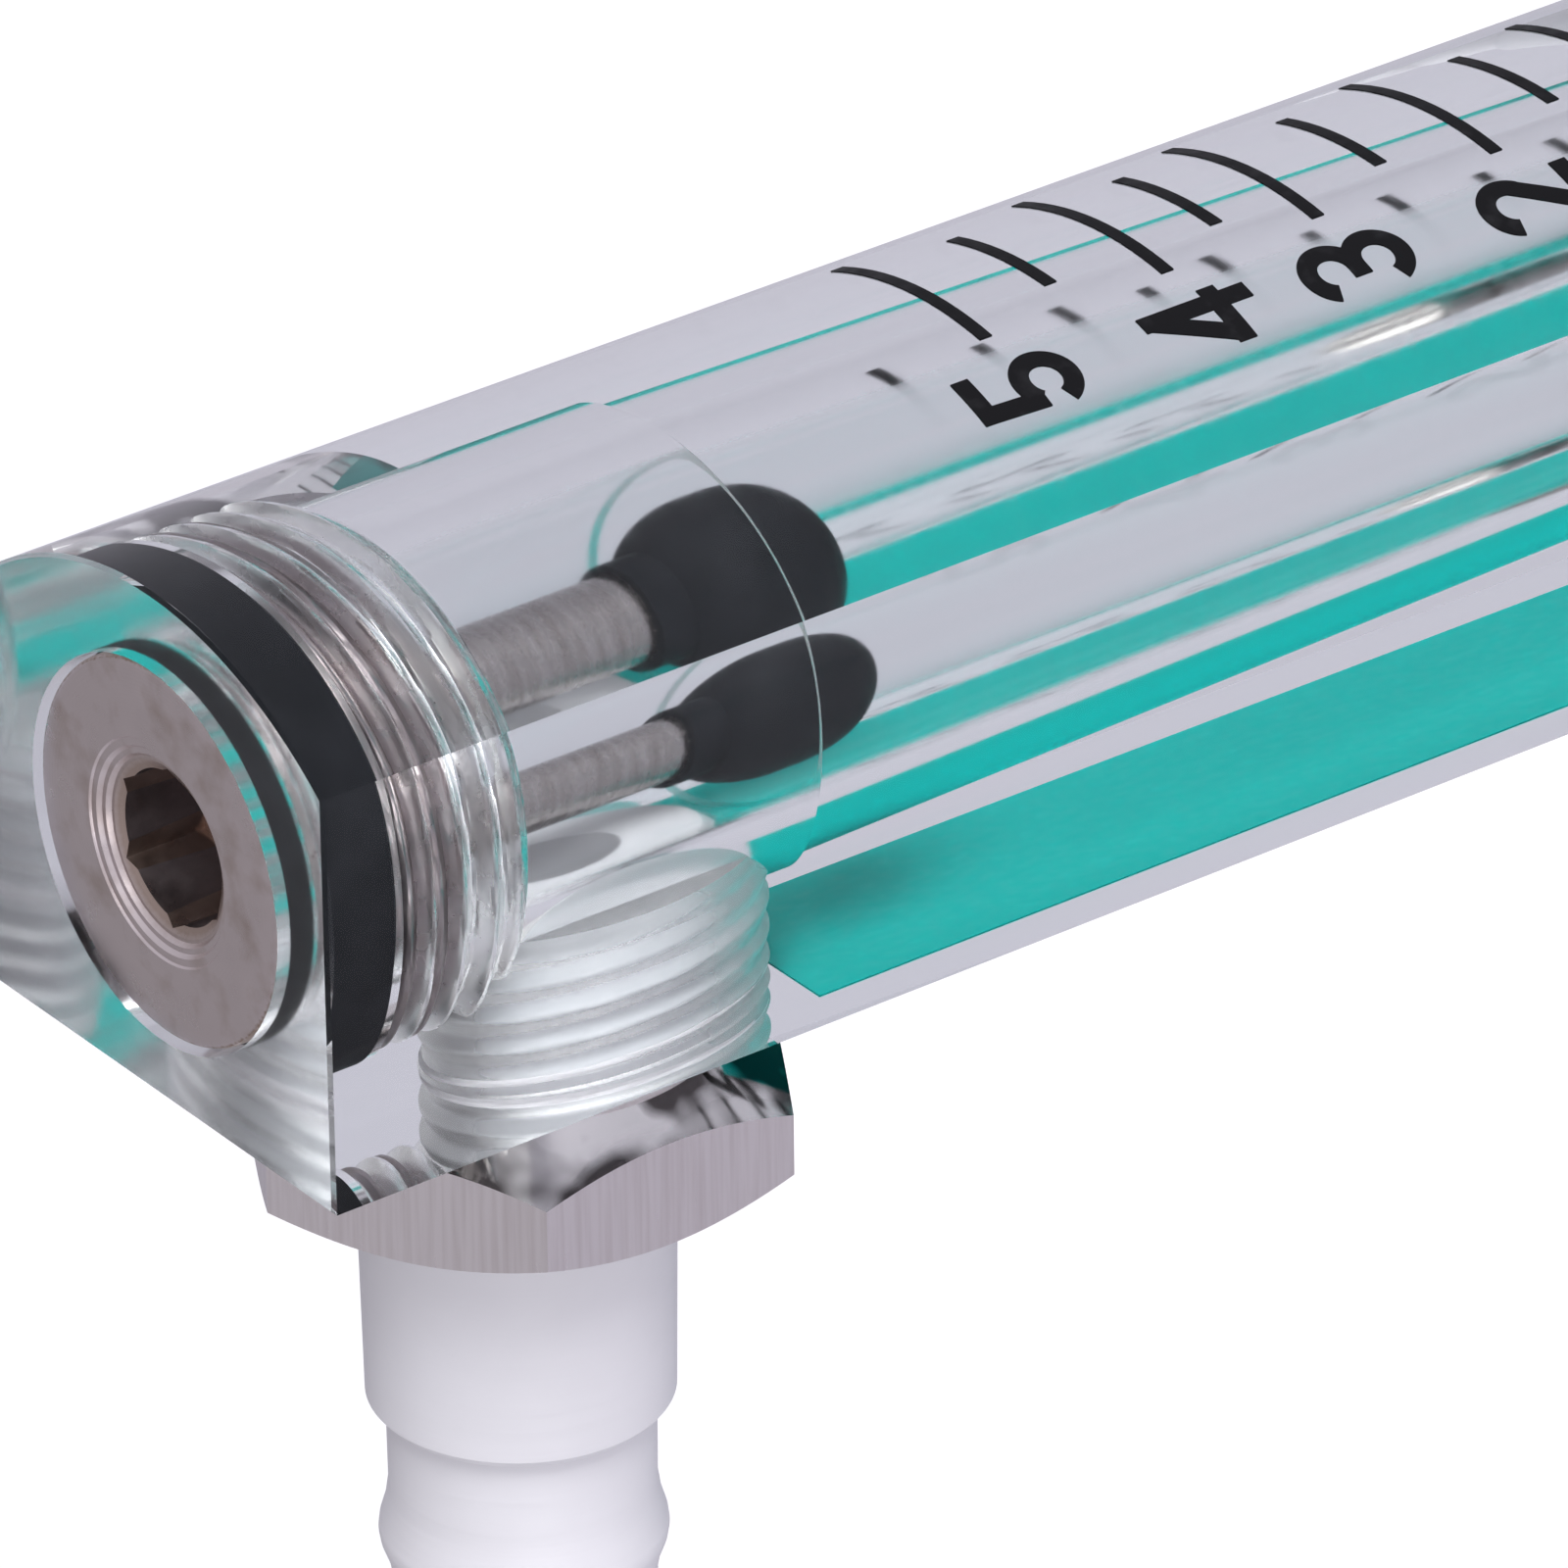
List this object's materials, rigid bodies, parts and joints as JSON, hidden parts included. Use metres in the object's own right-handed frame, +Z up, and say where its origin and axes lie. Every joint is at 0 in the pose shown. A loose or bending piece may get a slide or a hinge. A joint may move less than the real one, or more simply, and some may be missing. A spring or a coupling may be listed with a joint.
{
  "type": "rotameter",
  "caption": "Clear acrylic panel rotameter: D-shaped block with a tapered tube, sliding float, printed scale, end plugs with rubber float stops, and rear hose fittings with panel nuts.",
  "frame": {"origin": "on the flat back face of the acrylic block, midway between the two fittings", "axes": "+Z up along the tube with the outlet end up, -Y towards the rounded front, +Y the way the fittings point, +X to the right seen from the front"},
  "size_m": [0.03, 0.0806, 0.155],
  "materials": {
    "acrylic": "clear, polished",
    "nickel_plate": "nickel-plated brass, lightly brushed",
    "steel": "turned stainless steel",
    "rubber": "satin black rubber",
    "white_plastic": "satin moulded plastic",
    "black_print": "screen-printed ink",
    "green_print": "screen-printed ink"
  },
  "bodies": {
    "meter": {"body": "acrylic", "scale_ticks": "black_print", "scale_digits": "black_print", "back_band": "green_print", "outlet_plug": "nickel_plate", "outlet_plug_seal": "rubber", "outlet_stop_rod": "steel", "outlet_stop_bumper": "rubber", "outlet_fitting": "white_plastic", "inlet_plug": "nickel_plate", "inlet_plug_seal": "rubber", "inlet_stop_rod": "steel", "inlet_stop_bumper": "rubber", "inlet_fitting": "white_plastic"},
    "float": {"float": "steel"},
    "outlet_nut": {"outlet_nut": "nickel_plate"},
    "inlet_nut": {"inlet_nut": "nickel_plate"}
  },
  "joints": [
    {"name": "float_slide", "type": "slide", "parent": "meter", "child": "float", "axis": [0, 0, 1], "range_m": [0, 0.0586]},
    {"name": "outlet_nut_travel", "type": "slide", "parent": "meter", "child": "outlet_nut", "axis": [0, 1, 0], "range_m": [-0.0029, 0.0046]},
    {"name": "inlet_nut_travel", "type": "slide", "parent": "meter", "child": "inlet_nut", "axis": [0, 1, 0], "range_m": [-0.0029, 0.0046]}
  ]
}
